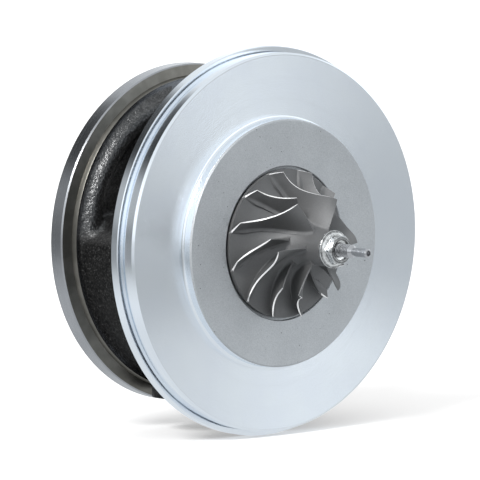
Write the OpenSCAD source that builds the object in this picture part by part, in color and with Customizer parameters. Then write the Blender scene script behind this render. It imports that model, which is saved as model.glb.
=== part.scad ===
// Turbocharger centre cartridge: bearing housing, seal plate and the complete rotor.
// The shaft lies along Y with the compressor towards -Y. The origin is on the shaft axis,
// in the plane of the ledge on which the compressor housing seats.

/* [Seal plate] */
// Outer diameter of the plate's rim
plate_d = 147; // [146:0.5:160]
// Thickness of the rim behind the seat ledge
rim_t = 3.7; // [3:0.1:6]
// Diameter of the register that centres the compressor housing
register_d = 143; // [120:0.5:144]
// Height of the front face above the seat ledge
face_h = 6.5; // [5:0.1:10]
// Height of the groove round the register above the seat ledge
groove_h = 1.3; // [1:0.1:2]
// Width of that groove
groove_w = 0.7; // [0.4:0.1:1]
// Depth of that groove
groove_depth = 1.1; // [0.9:0.1:1.5]
// Width of the undercut at the inner edge of the seat ledge
undercut_w = 0.9; // [0.7:0.1:1.1]
// Depth of the undercut below the seat ledge
undercut_depth = 0.4; // [0.2:0.1:0.8]
// Setback of the land between the undercut and the groove
land_setback = 0.6; // [0.4:0.05:0.7]
// Chamfer on the edge of the front face
face_chamfer = 0.8; // [0.3:0.1:1.5]
// Diameter of the raised centre
boss_d = 93.5; // [80:0.5:110]
// Height of the raised centre above the front face
boss_h = 4.2; // [3:0.1:6]
// Chamfer on the edge of the raised centre
boss_chamfer = 0.6; // [0.2:0.1:1]
// Fillet at the foot of the raised centre
boss_fillet = 1.2; // [0.5:0.1:2]
// Diameter of the spigot that enters the bearing housing
spigot_d = 72; // [66:0.5:80]
// Length of the spigot
spigot_h = 4.5; // [4:0.1:6]
// Diameter of the oil chamber in the back of the plate
chamber_d = 50; // [46:0.5:56]
// Thickness of the plate's web between the wheel and the oil chamber
web_t = 7.5; // [6.5:0.1:9]

/* [Compressor wheel] */
// Outer diameter of the wheel
wheel_d = 56; // [50:0.5:60]
// Diameter over the leading edges of the blades
inducer_d = 39.8; // [34:0.2:44]
// Height of the wheel from its disc to its nose
wheel_h = 25.8; // [24:0.1:30]
// Height of the blades' leading edge above the disc
inducer_h = 18; // [15:0.1:20]
// Height of the blades at the rim
blade_exit_h = 3.8; // [3:0.1:5]
// Thickness of the disc at its rim
disc_t = 1.5; // [1:0.1:2.5]
// How far the disc stands proud of the plate's raised centre
disc_proud = 0.9; // [0:0.1:1.5]
// Depth of the hub behind the disc's rim
hub_back_h = 2; // [1:0.1:3]
// Diameter of the wheel's nose
nose_d = 13.4; // [12:0.1:15]
// Number of full blades, with as many splitters between them
full_blades = 6; // [5:1:7]
// Turn of a blade along its root, in degrees
root_turn = 51; // [40:1:60]
// Turn of a blade along its tip, in degrees
tip_turn = 38.5; // [30:0.5:48]
// Lean of the blade at the rim, in degrees
tip_lean = 7.7; // [4:0.1:12]
// Where a splitter's tip starts along the blade, as a share of its length
splitter_start = 0.38; // [0.25:0.01:0.5]
// Where a splitter's root starts, as a share of the same length
splitter_root_start = 0.24; // [0.15:0.01:0.4]
// Thickness of a blade at its tip
blade_tip_t = 0.8; // [0.6:0.05:1.2]
// Thickness of a blade at its root
blade_root_t = 1.7; // [1.3:0.05:2.2]
// Angle of the first full blade at the rim, in degrees from the +X side
first_blade_angle = 47; // [0:1:60]

/* [Shaft and nut] */
// Diameter of the threaded front length of the shaft
stub_d = 5; // [4:0.1:6]
// Diameter of the shaft in the journal bushes
journal_d = 8; // [7.5:0.1:9]
// Diameter of the shaft's waist between the bushes
waist_d = 7.4; // [6.8:0.1:7.4]
// Length of thread in front of the nut
thread_past_nut = 5.6; // [3:0.1:8]
// Diameter of the turning end in front of the thread
tip_d = 3.4; // [2.8:0.1:3.8]
// Length of the turning end
tip_h = 9.2; // [6:0.1:12]
// Diameter of the centre drilling
centre_d = 1.8; // [1:0.1:2.2]
// Depth of the centre drilling
centre_depth = 2.4; // [1:0.1:4]
// Diameter of the nut's flange
nut_flange_d = 14.2; // [13.6:0.1:16]
// Thickness of the nut's flange at its edge
nut_flange_t = 1.2; // [0.8:0.1:2]
// Width across the nut's flats
nut_af = 10; // [9.6:0.1:11]
// Height of the nut
nut_h = 5.4; // [4.5:0.1:7]
// Diameter of the recess round the thread in the nut's top
nut_recess_d = 7.4; // [6.6:0.1:8]
// Depth of that recess
nut_recess_depth = 1; // [0.5:0.1:1.5]
// Diameter of the seal boss next to the turbine wheel
seal_boss_d = 17.4; // [16.6:0.1:18.4]
// Diameter of the oil flinger's sleeve
flinger_d = 16; // [15:0.1:17]
// Diameter of the flinger's flange and of the thrust collar's flange
thrust_flange_d = 19; // [18:0.1:20]
// Thickness of both thrust flanges
thrust_flange_t = 1.8; // [1.4:0.1:2.2]
// Diameter of the thrust collar's neck
collar_neck_d = 12.4; // [11:0.1:13.4]

/* [Bearings] */
// Bore in the housing that holds the bushes
bearing_bore_d = 14; // [13:0.1:15]
// Length of a journal bush
bush_l = 8.5; // [7.5:0.1:9]
// Distance between the front faces of the two bushes
bush_pitch = 16.7; // [16:0.1:17.2]
// Diameter of the oil holes in a bush
bush_hole_d = 1.6; // [1:0.1:2.2]
// Number of oil holes in a bush
bush_holes = 6; // [4:1:8]
// Thickness of a circlip
circlip_t = 0.8; // [0.6:0.05:1]
// Radial height of a circlip's groove in the bearing bore
circlip_groove = 0.5; // [0.3:0.05:0.8]
// Radial width of a circlip
circlip_w = 2.2; // [1.6:0.1:2.4]
// Diameter of the thrust bearing plate
thrust_d = 44; // [42:0.5:47]
// Thickness of the thrust bearing plate
thrust_t = 4; // [3.4:0.1:4.6]
// Number of thrust pads on each face
thrust_pads = 4; // [3:1:6]
// Depth of the grooves between the thrust pads
pad_groove = 0.6; // [0.3:0.1:1]
// Diameter of the thrust bearing's locating pins
thrust_pin_d = 3; // [2.5:0.1:4]
// Distance of the locating pins from the axis
thrust_pin_r = 17; // [16:0.1:18]
// Depth of the locating pins in the housing
thrust_pin_depth = 5; // [3:0.5:7]

/* [Seals and sheet parts] */
// Width of the compressor-side piston ring
front_ring_w = 1.5; // [1.2:0.1:2]
// Width of the turbine-side piston ring
rear_ring_w = 1.8; // [1.4:0.1:2.2]
// Radial thickness of a piston ring
ring_t = 1.2; // [0.9:0.1:1.3]
// Gap between the ends of a piston ring
ring_gap = 0.4; // [0.2:0.1:0.8]
// Width of the O-ring's groove in the spigot
o_ring_groove_w = 2.3; // [2:0.1:2.6]
// Depth of the O-ring's groove
o_ring_groove_depth = 1.6; // [1.3:0.1:1.8]
// Sheet thickness of the oil deflector
deflector_t = 0.6; // [0.4:0.1:1]
// How far the deflector's dish stands into the oil chamber
deflector_dish = 3; // [2:0.1:4]
// Sheet thickness of the heat shield
shield_t = 1; // [0.6:0.1:1.5]
// Diameter over the heat shield's brim
shield_d = 80; // [76:0.5:84]
// Diameter at the foot of the heat shield's cup
shield_cup_d = 68; // [64:0.5:72]
// How far the cup leans inwards on its way to the turbine wheel
shield_draft = 4; // [2:0.5:6]

/* [Bearing housing] */
// Diameter of the turbine flange
flange_d = 128.5; // [122:0.5:140]
// Thickness of the turbine flange at its edge
flange_t = 6.4; // [5:0.1:8]
// Distance from the seat ledge to the back of the turbine flange
flange_back = 49.2; // [48.6:0.1:52]
// Diameter at the inner end of the flange's clamping slope
slope_d = 120.1; // [117:0.1:121]
// Rise of the clamping slope
slope_h = 1.1; // [0.6:0.1:1.6]
// Height of the short collar inside the slope
collar_h = 2; // [1:0.1:2.4]
// Diameter of the cast bead round the recess in front of the turbine flange
bead_d = 105; // [104:0.5:108]
// Radius of the bead's section
bead_r = 4; // [3:0.1:4.2]
// Depth of the recess behind the top of the bead
recess_depth = 5; // [4:0.1:6]
// Diameter of the bearing barrel
barrel_d = 54; // [50:0.5:58]
// Diameter of the front flange that carries the seal plate
front_flange_d = 108; // [106:0.5:116]
// Thickness of the front flange
front_flange_t = 8; // [7:0.1:9]
// Width of the ledge for the screw heads behind the front flange
screw_ledge_w = 16; // [15:0.5:18]
// Depth of the heat shield's seat in the back of the turbine flange
shield_seat_depth = 2.7; // [2.4:0.1:3]
// How far the turbine-side seal's boss stands out of that back
rear_boss_h = 3.2; // [3:0.1:4]
// Wall round the turbine-side seal
seal_wall = 5; // [4:0.5:6]
// Wall between the bearing bore and the drain chamber
bore_wall = 4.5; // [3.5:0.1:5.5]
// Radius of the oil drain casting under the barrel
sump_r = 57; // [54:0.5:58.5]
// Distance from the seat ledge to the front of the drain casting
sump_front = 18; // [17.5:0.1:20]
// Height of the drain casting's flat top above the axis
sump_top = 9; // [6:0.5:12]
// Slope of its shoulders, in degrees
shoulder_slope = 36; // [30:1:45]
// Rounding of the shoulders' outer edge
shoulder_fillet = 3; // [1.5:0.5:5]
// Distance of the drain pad from the axis
drain_pad_z = 60; // [59:0.5:62]
// Width of the drain pad
drain_pad_w = 56; // [54:0.5:60]
// Length of the drain pad along the shaft
drain_pad_l = 20; // [19:0.5:21]
// Diameter of the oil drain port
drain_d = 18; // [14:0.5:19]
// Distance between the drain's two bolt holes
drain_bolt_pitch = 40; // [38:0.5:44]
// Diameter of the drain's bolt holes
drain_bolt_d = 6.8; // [5:0.1:7]
// Depth of the drain's bolt holes
drain_bolt_depth = 14; // [10:0.5:16]
// Height of the oil inlet boss above the axis
inlet_z = 47; // [44:0.5:52]
// Diameter of the oil inlet boss
inlet_boss_d = 22; // [20:0.5:23]
// Diameter of the tapped oil inlet hole
inlet_d = 10.2; // [8:0.1:11]
// Length of the tapped oil inlet hole
inlet_depth = 16; // [12:0.5:18]
// Depth of the oil well under the tapped hole
well_depth = 10; // [9:0.5:11]
// Width of the foot round the oil inlet boss
inlet_foot_w = 5; // [4:0.5:6]
// Diameter of the oil galleries
gallery_d = 3; // [2:0.1:4]
// Thickness of the stiffening ribs
rib_t = 5; // [4:0.5:7]
// Angle of the ribs from straight up, in degrees
rib_angle = 32; // [30:1:36]

/* [Fasteners] */
// Number of screws that hold the seal plate
plate_screws = 6; // [4:1:6]
// Diameter of the plate screws
plate_screw_d = 5; // [4:0.1:6]
// Diameter of the screws' circle
plate_screw_pcd = 94; // [92:0.5:96]
// Height of the screw heads
screw_head_h = 3.5; // [3:0.1:4]
// Width across the flats of the screw heads
screw_af = 8; // [7.4:0.1:9]
// Depth of the screws in the seal plate
screw_reach = 8; // [6:0.5:9]
// Diameter of the pin that sets the turbine housing's angle
locating_pin_d = 4; // [3:0.1:5]
// Distance of that pin from the axis
locating_pin_r = 56; // [54:0.5:58]
// How far the pin stands out of the turbine flange
locating_pin_h = 3; // [2:0.1:4]

/* [Turbine wheel] */
// Diameter over the turbine wheel's inlet edges
turbine_d = 52; // [46:0.5:56]
// Diameter over its outlet edges
turbine_exit_d = 45; // [40:0.5:48]
// Length of the blades along the shaft
turbine_h = 20; // [17:0.1:24]
// Width of the blades at the inlet edge
turbine_inlet_h = 6.5; // [5:0.1:8]
// Diameter of the hub at the outlet
turbine_hub_d = 13; // [12:0.1:15]
// Diameter of the back of the hub
turbine_back_d = 40; // [34:0.5:44]
// Number of blades
turbine_blades = 11; // [9:1:12]
// Turn of the turbine blades, in degrees
turbine_turn = 42; // [30:1:50]
// Thickness of a turbine blade at its tip
turbine_tip_t = 0.9; // [0.7:0.05:1.3]
// Thickness of a turbine blade at its root
turbine_root_t = 1.9; // [1.5:0.05:2.3]
// Width across the flats of the wheel's turning nose
turbine_nose_af = 9; // [8:0.1:10]
// Height of that nose
turbine_nose_h = 3.5; // [2:0.1:5]

/* [Clearances] */
// Radial gap between compressor wheel and pocket
wheel_gap = 1; // [0.6:0.1:1.5]
// Gap behind the wheels
back_gap = 0.6; // [0.4:0.1:0.9]
// Radial clearance between shaft and bush
journal_clear = 0.03; // [0.01:0.01:0.06]
// Radial clearance between bush and housing
bush_clear = 0.05; // [0.02:0.01:0.08]
// End clearance of bushes, thrust collar and piston rings
end_clear = 0.05; // [0.03:0.01:0.1]
// Radial gap between the seal sleeves and their bores
seal_clear = 0.15; // [0.1:0.01:0.2]
// Clearance of pieces that are only located
fit_clear = 0.1; // [0.05:0.01:0.15]
// Contact gap of rings that spring against their bores
ring_clear = 0.02; // [0.01:0.01:0.04]

/* [Hidden] */
$fn = 96;
over = 1;
// Stations along the shaft, positive towards the compressor
z_back = -rim_t;
z_spigot = z_back - spigot_h;
z_thrust = z_spigot - deflector_t;
z_thrust_back = z_thrust - thrust_t;
z_shoulder = z_thrust_back - end_clear - thrust_flange_t;
z_bore = z_shoulder - 0.4;
z_boss = face_h + boss_h;
z_disc = z_boss + disc_proud;
z_disc_back = z_disc - disc_t;
z_wheel_back = z_disc_back - hub_back_h;
z_nose = z_disc + wheel_h;
z_web = z_wheel_back - back_gap;
z_nut_top = z_nose + nut_h;
z_thread_end = z_nut_top + thread_past_nut;
z_tip = z_thread_end + tip_h;
z_flange = -flange_back;
z_front_bush = z_bore - 2 * circlip_t;
z_rear_bush = z_front_bush - bush_pitch;
z_bore_end = z_rear_bush - bush_l - 2 * circlip_t;
chamber_l = 2.4;
z_seal_bore = z_bore_end - chamber_l;
z_seal_boss = z_bore_end - 0.5;
z_seat = z_flange + shield_seat_depth;
z_boss_end = z_flange - rear_boss_h;
z_shield = z_boss_end - back_gap;
z_turbine = z_shield - shield_t - back_gap;
z_turbine_exit = z_turbine - turbine_h;
z_slope = z_flange + flange_t + slope_h;
z_collar = z_slope + collar_h;
z_recess = z_collar - 0.8;
z_bead = z_recess + bead_r - recess_depth;
z_inlet = (z_front_bush - bush_l + z_rear_bush) / 2;
z_sump = -sump_front;
z_screw_seat = z_back - front_flange_t;
// Radii that fit each other
pocket_r = wheel_d / 2 + wheel_gap;
stub_r = stub_d / 2;
front_seal_r = flinger_d / 2 + seal_clear;
rear_seal_r = seal_boss_d / 2 + seal_clear;
bore_r = bearing_bore_d / 2;
spigot_bore_r = spigot_d / 2 + fit_clear;
cavity_r = thrust_flange_d / 2 + 1.5;
slinger_r = rear_seal_r + 2.6;
rear_boss_r = rear_seal_r + seal_wall;
collar_r = slope_d / 2 - 0.85;
pin_root_r = locating_pin_d / 2 + 0.5;
pin_depth = flange_t - 1;
// Blade paths as control points of radius and height
hub_path = [
    [nose_d / 2, z_disc + inducer_h + 1.4],
    [nose_d / 2, z_disc + inducer_h * 0.42],
    [wheel_d / 2 * 0.58, z_disc + 0.4],
    [wheel_d / 2, z_disc]
];
shroud_path = [
    [inducer_d / 2, z_disc + inducer_h],
    [inducer_d / 2, z_disc + inducer_h * 0.95],
    [inducer_d / 2 * 0.89, z_disc + blade_exit_h],
    [wheel_d / 2, z_disc + blade_exit_h]
];
turbine_hub_path = [
    [turbine_hub_d / 2, z_turbine_exit],
    [turbine_hub_d / 2, z_turbine_exit + turbine_h * 0.45],
    [turbine_back_d / 2 * 0.5, z_turbine - 1.8],
    [turbine_d / 2, z_turbine - 1.2]
];
turbine_tip_path = [
    [turbine_exit_d / 2, z_turbine_exit],
    [turbine_exit_d / 2, z_turbine_exit + turbine_h * 0.3],
    [turbine_exit_d / 2, z_turbine - turbine_inlet_h],
    [turbine_d / 2, z_turbine - turbine_inlet_h]
];
blade_sink = 0.9;
blade_trim = 0.08;

// Stands the turned pieces on the shaft's axis: their height runs towards the compressor
module on_shaft() {
    rotate([90, 0, 0]) children();
}

// A plain cylinder between two stations
module rod(d, z0, z1) {
    translate([0, 0, min(z0, z1)]) cylinder(d = d, h = abs(z1 - z0));
}

// A ring with a rectangular section
module ring(r_in, r_out, z0, z1) {
    rotate_extrude() polygon([[r_in, z0], [r_out, z0], [r_out, z1], [r_in, z1]]);
}

// The section of a fillet in the inner corner between a wall and a floor
module root_fillet(corner, radius) {
    translate(corner) difference() {
        translate([-over, -over]) square(radius + over);
        translate([radius, radius]) circle(radius);
    }
}

// A straight drilling between two points of the plane through the shaft, given as height and station
module drilling(d, from, to) {
    run = to - from;
    translate([0, from[0], from[1]])
        rotate([-atan2(run[0], run[1]), 0, 0])
            cylinder(d = d, h = norm(run));
}

function mix(a, b, s) = a + (b - a) * s;

function path_at(p, t) =
    pow(1 - t, 3) * p[0] + 3 * pow(1 - t, 2) * t * p[1] + 3 * (1 - t) * t * t * p[2] + t * t * t * p[3];

function clamp01(s) = max(0, min(1, s));

// A blade between two paths, from its open edge to the rim at t = 1.
// The open edge starts at t = first[0] on the root and at t = first[1] on the tip.
module blade(hub, tip, hub_turn, edge_turn, lean, curl, first, root_t, tip_t, steps, rows) {
    function camber(t) = curl * (1 - t) + (1 - curl) * (1 - t) * (1 - t);
    function mid(t, s) =
        let (rz = mix(path_at(hub, t), path_at(tip, t), s))
        let (a = -mix(hub_turn * camber(t), lean + edge_turn * camber(t), s))
        [(rz[0] - blade_trim) * cos(a), (rz[0] - blade_trim) * sin(a), rz[1]];
    function normal(t, s) =
        let (n = cross(mid(t + 0.01, s) - mid(t - 0.01, s), mid(t, s + 0.01) - mid(t, s - 0.01)))
        n / norm(n);
    function start(s) = mix(first[0], first[1], clamp01(s));
    function thickness(t, s) =
        mix(root_t, tip_t, clamp01(s)) * mix(0.5, 1, clamp01((t - start(s)) / 0.12));
    function share(t, j) = mix(-blade_sink / norm(path_at(tip, t) - path_at(hub, t)), 1, j / rows);
    function side(way) = [
        for (i = [0:steps]) for (j = [0:rows])
            let (t = mix(start(j / rows), 1, i / steps))
            let (s = share(t, j))
            mid(t, s) + way * normal(t, s) * thickness(t, s) / 2
    ];
    span = rows + 1;
    count = (steps + 1) * span;
    function quad(a, b, c, d) = [[a, b, c], [a, c, d]];
    function at(i, j, back) = i * span + j + back * count;
    faces = [
        for (i = [0:steps - 1]) for (j = [0:rows - 1])
            each quad(at(i, j, 0), at(i, j + 1, 0), at(i + 1, j + 1, 0), at(i + 1, j, 0)),
        for (i = [0:steps - 1]) for (j = [0:rows - 1])
            each quad(at(i, j, 1), at(i + 1, j, 1), at(i + 1, j + 1, 1), at(i, j + 1, 1)),
        for (i = [0:steps - 1]) each quad(at(i, 0, 0), at(i + 1, 0, 0), at(i + 1, 0, 1), at(i, 0, 1)),
        for (i = [0:steps - 1])
            each quad(at(i, rows, 0), at(i, rows, 1), at(i + 1, rows, 1), at(i + 1, rows, 0)),
        for (j = [0:rows - 1]) each quad(at(0, j, 0), at(0, j, 1), at(0, j + 1, 1), at(0, j + 1, 0)),
        for (j = [0:rows - 1])
            each quad(at(steps, j, 0), at(steps, j + 1, 0), at(steps, j + 1, 1), at(steps, j, 1))
    ];
    polyhedron(points = concat(side(1), side(-1)), faces = faces);
}

// The turned section of the seal plate, with the tapped holes for its screws
module seal_plate() {
    edge = 0.3;
    land_r = register_d / 2 - land_setback;
    groove_r = spigot_d / 2 - o_ring_groove_depth;
    groove_z = (z_back + z_spigot) / 2;
    color([0.86, 0.87, 0.9]) on_shaft() difference() {
        union() {
            rotate_extrude() polygon([
                [front_seal_r, z_web], [cavity_r, z_web],
                [pocket_r, z_disc_back - back_gap], [pocket_r, z_boss - edge], [pocket_r + edge, z_boss],
                [boss_d / 2 - boss_chamfer, z_boss], [boss_d / 2, z_boss - boss_chamfer],
                [boss_d / 2, face_h],
                [register_d / 2 - face_chamfer, face_h], [register_d / 2, face_h - face_chamfer],
                [register_d / 2, groove_h + groove_w], [register_d / 2 - groove_depth, groove_h + groove_w],
                [register_d / 2 - groove_depth, groove_h], [land_r, groove_h],
                [land_r, -undercut_depth], [land_r + undercut_w, -undercut_depth],
                [land_r + undercut_w, 0], [plate_d / 2 - edge, 0], [plate_d / 2, -edge],
                [plate_d / 2, z_back + edge], [plate_d / 2 - edge, z_back],
                [spigot_d / 2, z_back],
                [spigot_d / 2, groove_z + o_ring_groove_w / 2], [groove_r, groove_z + o_ring_groove_w / 2],
                [groove_r, groove_z - o_ring_groove_w / 2], [spigot_d / 2, groove_z - o_ring_groove_w / 2],
                [spigot_d / 2, z_spigot], [chamber_d / 2, z_spigot],
                [chamber_d / 2, z_web - web_t], [front_seal_r, z_web - web_t]
            ]);
            rotate_extrude() root_fillet([boss_d / 2, face_h], boss_fillet);
        }
        plate_screw_places() rod(plate_screw_d + 2 * fit_clear, z_back - over, z_back + screw_reach + 1);
    }
}

// The screws' circle, with the first screw on the +X side
module plate_screw_places() {
    for (i = [0:plate_screws - 1])
        rotate(i * 360 / plate_screws) translate([plate_screw_pcd / 2, 0]) children();
}

// A turned hub carries full blades and splitters in turn
module compressor_wheel() {
    hub_steps = 14;
    color([0.42, 0.43, 0.44]) on_shaft() difference() {
        union() {
            rotate_extrude() polygon(concat(
                [[0, z_wheel_back], [cavity_r - 1, z_wheel_back], [wheel_d / 2, z_disc_back]],
                [for (i = [0:hub_steps]) path_at(hub_path, 1 - i / hub_steps)],
                [[nose_d / 2, z_nose - 0.4], [nose_d / 2 - 0.4, z_nose], [0, z_nose]]
            ));
            for (i = [0:full_blades - 1]) {
                rotate(first_blade_angle + i * 360 / full_blades)
                    blade(hub_path, shroud_path, root_turn, tip_turn, tip_lean, 0.69,
                        [0, 0], blade_root_t, blade_tip_t, 22, 4);
                rotate(first_blade_angle + (i + 0.5) * 360 / full_blades)
                    blade(hub_path, shroud_path, root_turn, tip_turn, tip_lean, 0.69,
                        [splitter_root_start, splitter_start], blade_root_t, blade_tip_t, 15, 4);
            }
        }
        rod(stub_d, z_wheel_back - over, z_nose + over);
    }
}

// A flanged hexagon nut with a recess round the thread
module shaft_nut() {
    cone_h = 1.2;
    hex_d = nut_af / cos(30);
    color([0.8, 0.8, 0.8]) on_shaft() difference() {
        union() {
            rotate_extrude() polygon([
                [0, z_nose], [nut_flange_d / 2 - 0.3, z_nose], [nut_flange_d / 2, z_nose + 0.3],
                [nut_flange_d / 2, z_nose + nut_flange_t],
                [nut_af / 2, z_nose + nut_flange_t + cone_h], [0, z_nose + nut_flange_t + cone_h]
            ]);
            intersection() {
                translate([0, 0, z_nose + 0.5]) cylinder(d = hex_d, h = nut_h - 0.5, $fn = 6);
                rotate_extrude() polygon([
                    [0, z_nose], [hex_d / 2, z_nose], [hex_d / 2, z_nut_top - 0.9],
                    [nut_af / 2 - 0.2, z_nut_top], [0, z_nut_top]
                ]);
            }
        }
        rod(stub_d, z_nose - over, z_nut_top + over);
        rod(nut_recess_d, z_nut_top - nut_recess_depth, z_nut_top + over);
    }
}

// Shaft with journals, waist, stepped front end and the seal boss for the turbine wheel
module rotor_shaft() {
    groove_z = (z_seal_bore + z_boss_end) / 2;
    groove = rear_ring_w + 2 * end_clear;
    neck_r = tip_d / 2 - 0.3;
    step = stub_r - tip_d / 2;
    waist_front = z_front_bush - bush_l - circlip_t;
    waist_back = z_rear_bush + circlip_t;
    taper = (journal_d - waist_d) / 2 + 0.4;
    color([0.75, 0.75, 0.76]) on_shaft() difference() {
        rotate_extrude() polygon([
            [0, z_turbine], [seal_boss_d / 2, z_turbine],
            [seal_boss_d / 2, groove_z - groove / 2], [seal_boss_d / 2 - ring_t - 0.5, groove_z - groove / 2],
            [seal_boss_d / 2 - ring_t - 0.5, groove_z + groove / 2], [seal_boss_d / 2, groove_z + groove / 2],
            [seal_boss_d / 2, z_seal_boss - 0.4], [seal_boss_d / 2 - 0.4, z_seal_boss],
            [journal_d / 2, z_seal_boss],
            [journal_d / 2, waist_back - taper], [waist_d / 2, waist_back],
            [waist_d / 2, waist_front], [journal_d / 2, waist_front + taper],
            [journal_d / 2, z_shoulder], [stub_r, z_shoulder],
            [stub_r, z_thread_end], [tip_d / 2, z_thread_end + step],
            [neck_r, z_thread_end + step + 0.3], [neck_r, z_thread_end + step + 1.5],
            [tip_d / 2, z_thread_end + step + 1.8], [tip_d / 2, z_tip - 0.5], [tip_d / 2 - 0.5, z_tip],
            [0, z_tip]
        ]);
        rotate_extrude() polygon([
            [0, z_tip - centre_depth - centre_d / 3], [centre_d / 2, z_tip - centre_depth],
            [centre_d / 2, z_tip + over], [0, z_tip + over]
        ]);
    }
}

// Cast radial-inflow wheel, welded to the shaft's seal boss
module turbine_wheel() {
    hub_steps = 10;
    hub_end = 0.86;
    color([0.5, 0.47, 0.44]) on_shaft() union() {
        rotate_extrude() polygon(concat(
            [[0, z_turbine], [seal_boss_d / 2, z_turbine], [turbine_back_d / 2, z_turbine - 0.8]],
            [for (i = [0:hub_steps]) path_at(turbine_hub_path, hub_end * (1 - i / hub_steps))],
            [[turbine_hub_d / 2 - 1, z_turbine_exit - 1.5], [0, z_turbine_exit - 1.5]]
        ));
        translate([0, 0, z_turbine_exit - 1.5 - turbine_nose_h])
            cylinder(d = turbine_nose_af / cos(30), h = turbine_nose_h + 0.5, $fn = 6);
        for (i = [0:turbine_blades - 1])
            rotate(i * 360 / turbine_blades) mirror([0, 1, 0])
                blade(turbine_hub_path, turbine_tip_path, turbine_turn, turbine_turn, 0, 0.2,
                    [0, 0], turbine_root_t, turbine_tip_t, 14, 3);
    }
}

// Seal sleeve with the front thrust flange and a piston ring groove
module oil_flinger() {
    groove_z = z_web - web_t / 2;
    groove = front_ring_w + 2 * end_clear;
    floor_r = flinger_d / 2 - ring_t - 0.4;
    z_face = z_thrust + end_clear;
    color([0.6, 0.6, 0.62]) on_shaft() rotate_extrude() polygon([
        [stub_r, z_face], [thrust_flange_d / 2, z_face], [thrust_flange_d / 2, z_face + thrust_flange_t],
        [flinger_d / 2, z_face + thrust_flange_t],
        [flinger_d / 2, groove_z - groove / 2], [floor_r, groove_z - groove / 2],
        [floor_r, groove_z + groove / 2], [flinger_d / 2, groove_z + groove / 2],
        [flinger_d / 2, z_wheel_back - 0.4], [flinger_d / 2 - 0.4, z_wheel_back], [stub_r, z_wheel_back]
    ]);
}

// Collar with the rear thrust flange and the neck that runs in the thrust bearing
module thrust_collar() {
    color([0.62, 0.62, 0.64]) on_shaft() rotate_extrude() polygon([
        [stub_r, z_shoulder], [thrust_flange_d / 2, z_shoulder],
        [thrust_flange_d / 2, z_shoulder + thrust_flange_t],
        [collar_neck_d / 2, z_shoulder + thrust_flange_t],
        [collar_neck_d / 2, z_thrust + end_clear], [stub_r, z_thrust + end_clear]
    ]);
}

// Bronze plate with grooved pads on both faces and an open drain sector below
module thrust_bearing() {
    groove_w = 2.4;
    color([0.72, 0.53, 0.25]) on_shaft() difference() {
        ring(collar_neck_d / 2 + fit_clear, thrust_d / 2, z_thrust_back, z_thrust);
        for (i = [0:thrust_pads - 1]) rotate(45 + i * 360 / thrust_pads)
            for (z = [z_thrust_back - over, z_thrust - pad_groove])
                translate([0, -groove_w / 2, z])
                    cube([thrust_flange_d / 2 + 1, groove_w, pad_groove + over]);
        thrust_pin_places() rod(thrust_pin_d + fit_clear, z_thrust_back - over, z_thrust + over);
        translate([-cavity_r * 0.7, -thrust_d, z_thrust_back - over])
            cube([cavity_r * 1.4, thrust_d - cavity_r - 2, thrust_t + 2 * over]);
    }
}

module thrust_pin_places() {
    for (x = [-thrust_pin_r, thrust_pin_r]) translate([x, 0]) children();
}

module thrust_bearing_pins() {
    color([0.7, 0.7, 0.7]) on_shaft() thrust_pin_places()
        rod(thrust_pin_d, z_thrust_back - thrust_pin_depth, z_thrust);
}

// Dished sheet ring, clamped between spigot and housing, with a window for the draining oil
module oil_deflector() {
    inner_r = thrust_flange_d / 2 + 1;
    dish_r = inner_r + 4;
    brim_r = chamber_d / 2 - 1;
    clamp_r = spigot_d / 2 - o_ring_groove_depth - 2;
    color([0.66, 0.66, 0.67]) on_shaft() difference() {
        rotate_extrude() polygon([
            [clamp_r, z_thrust], [clamp_r, z_spigot], [brim_r, z_spigot],
            [dish_r, z_spigot + deflector_dish], [inner_r, z_spigot + deflector_dish],
            [inner_r, z_thrust + deflector_dish], [dish_r, z_thrust + deflector_dish], [brim_r, z_thrust]
        ]);
        translate([-inner_r / 2, -brim_r + 1, z_thrust - over])
            cube([inner_r, brim_r - inner_r - 2, deflector_dish + 3 * over]);
    }
}

// Floating bush with an oil groove round it and radial oil holes
module journal_bush(z_front) {
    z_mid = z_front - bush_l / 2;
    outer = bore_r - bush_clear;
    edge = 0.4;
    groove = 0.4;
    color([0.78, 0.62, 0.32]) on_shaft() difference() {
        rotate_extrude() polygon([
            [journal_d / 2 + journal_clear, z_front - end_clear],
            [outer - edge, z_front - end_clear], [outer, z_front - end_clear - edge],
            [outer, z_mid + bush_hole_d], [outer - groove, z_mid + bush_hole_d],
            [outer - groove, z_mid - bush_hole_d], [outer, z_mid - bush_hole_d],
            [outer, z_front - bush_l + end_clear + edge], [outer - edge, z_front - bush_l + end_clear],
            [journal_d / 2 + journal_clear, z_front - bush_l + end_clear]
        ]);
        for (i = [0:bush_holes - 1]) rotate(i * 360 / bush_holes)
            translate([journal_d / 4, 0, z_mid]) rotate([0, 90, 0]) cylinder(d = bush_hole_d, h = bore_r);
    }
}

module front_journal_bush() {
    journal_bush(z_front_bush);
}

module rear_journal_bush() {
    journal_bush(z_rear_bush);
}

// The fronts of the four circlips, one on each side of each bush
module circlip_places() {
    for (z_front = [z_front_bush, z_rear_bush]) for (z = [z_front + circlip_t, z_front - bush_l])
        translate([0, 0, z]) children();
}

// Open spring rings in the grooves of the bearing bore
module bush_circlips() {
    outer = bore_r + circlip_groove - ring_clear;
    gap_w = 3;
    color([0.4, 0.4, 0.42]) on_shaft() circlip_places() difference() {
        ring(outer - circlip_w, outer, -circlip_t + ring_clear, -ring_clear);
        translate([0, -gap_w / 2, -circlip_t - over]) cube([bearing_bore_d, gap_w, circlip_t + 2 * over]);
    }
}

// Split sealing ring that springs out against its bore
module piston_ring(bore_r_seal, z_mid, width) {
    color([0.5, 0.5, 0.5]) on_shaft() difference() {
        ring(bore_r_seal - ring_clear - ring_t, bore_r_seal - ring_clear, z_mid - width / 2, z_mid + width / 2);
        translate([0, -ring_gap / 2, z_mid - width]) cube([2 * bore_r_seal, ring_gap, 2 * width]);
    }
}

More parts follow.
